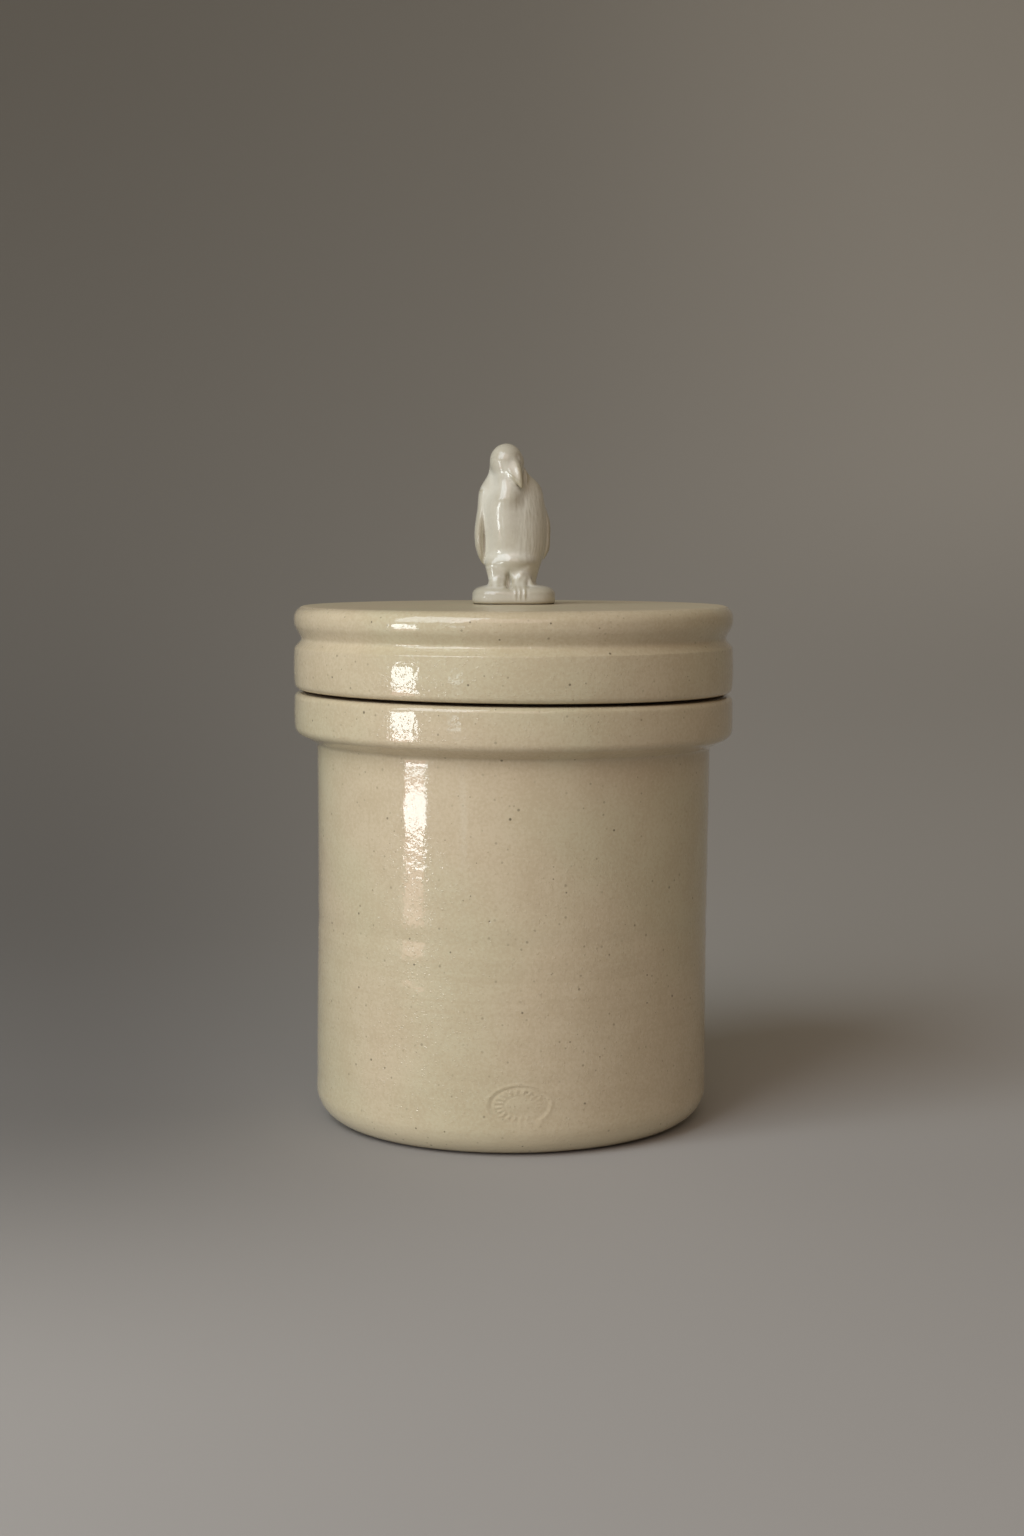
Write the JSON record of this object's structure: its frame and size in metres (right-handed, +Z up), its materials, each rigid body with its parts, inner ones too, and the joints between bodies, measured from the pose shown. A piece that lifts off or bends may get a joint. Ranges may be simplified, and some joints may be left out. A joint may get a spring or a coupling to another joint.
{
  "type": "lidded stoneware jar",
  "caption": "Straight-sided glazed stoneware storage jar with a heavy collar and a thick grooved lid, lifted by a small porcelain penguin that serves as its knob.",
  "frame": {"origin": "middle of the jar's foot, on the surface that it stands on", "axes": "+Z up along the jar's axis; the penguin faces -Y; +X is to the right of someone who faces the penguin"},
  "size_m": [0.15, 0.15, 0.2306],
  "materials": {
    "stoneware_glaze": "glossy cream glaze over stoneware, finely speckled with iron",
    "porcelain_glaze": "glossy grey-white glaze over porcelain",
    "setting_paste": "matt dark setting paste"
  },
  "bodies": {
    "jar": {"jar_body": "stoneware_glaze"},
    "lid": {"lid": "stoneware_glaze", "setting_bed": "setting_paste", "penguin_finial": "porcelain_glaze"}
  },
  "joints": [
    {"name": "lid_lift", "type": "slide", "parent": "jar", "child": "lid", "axis": [0, 0, 1], "range_m": [0, 0.15]}
  ]
}
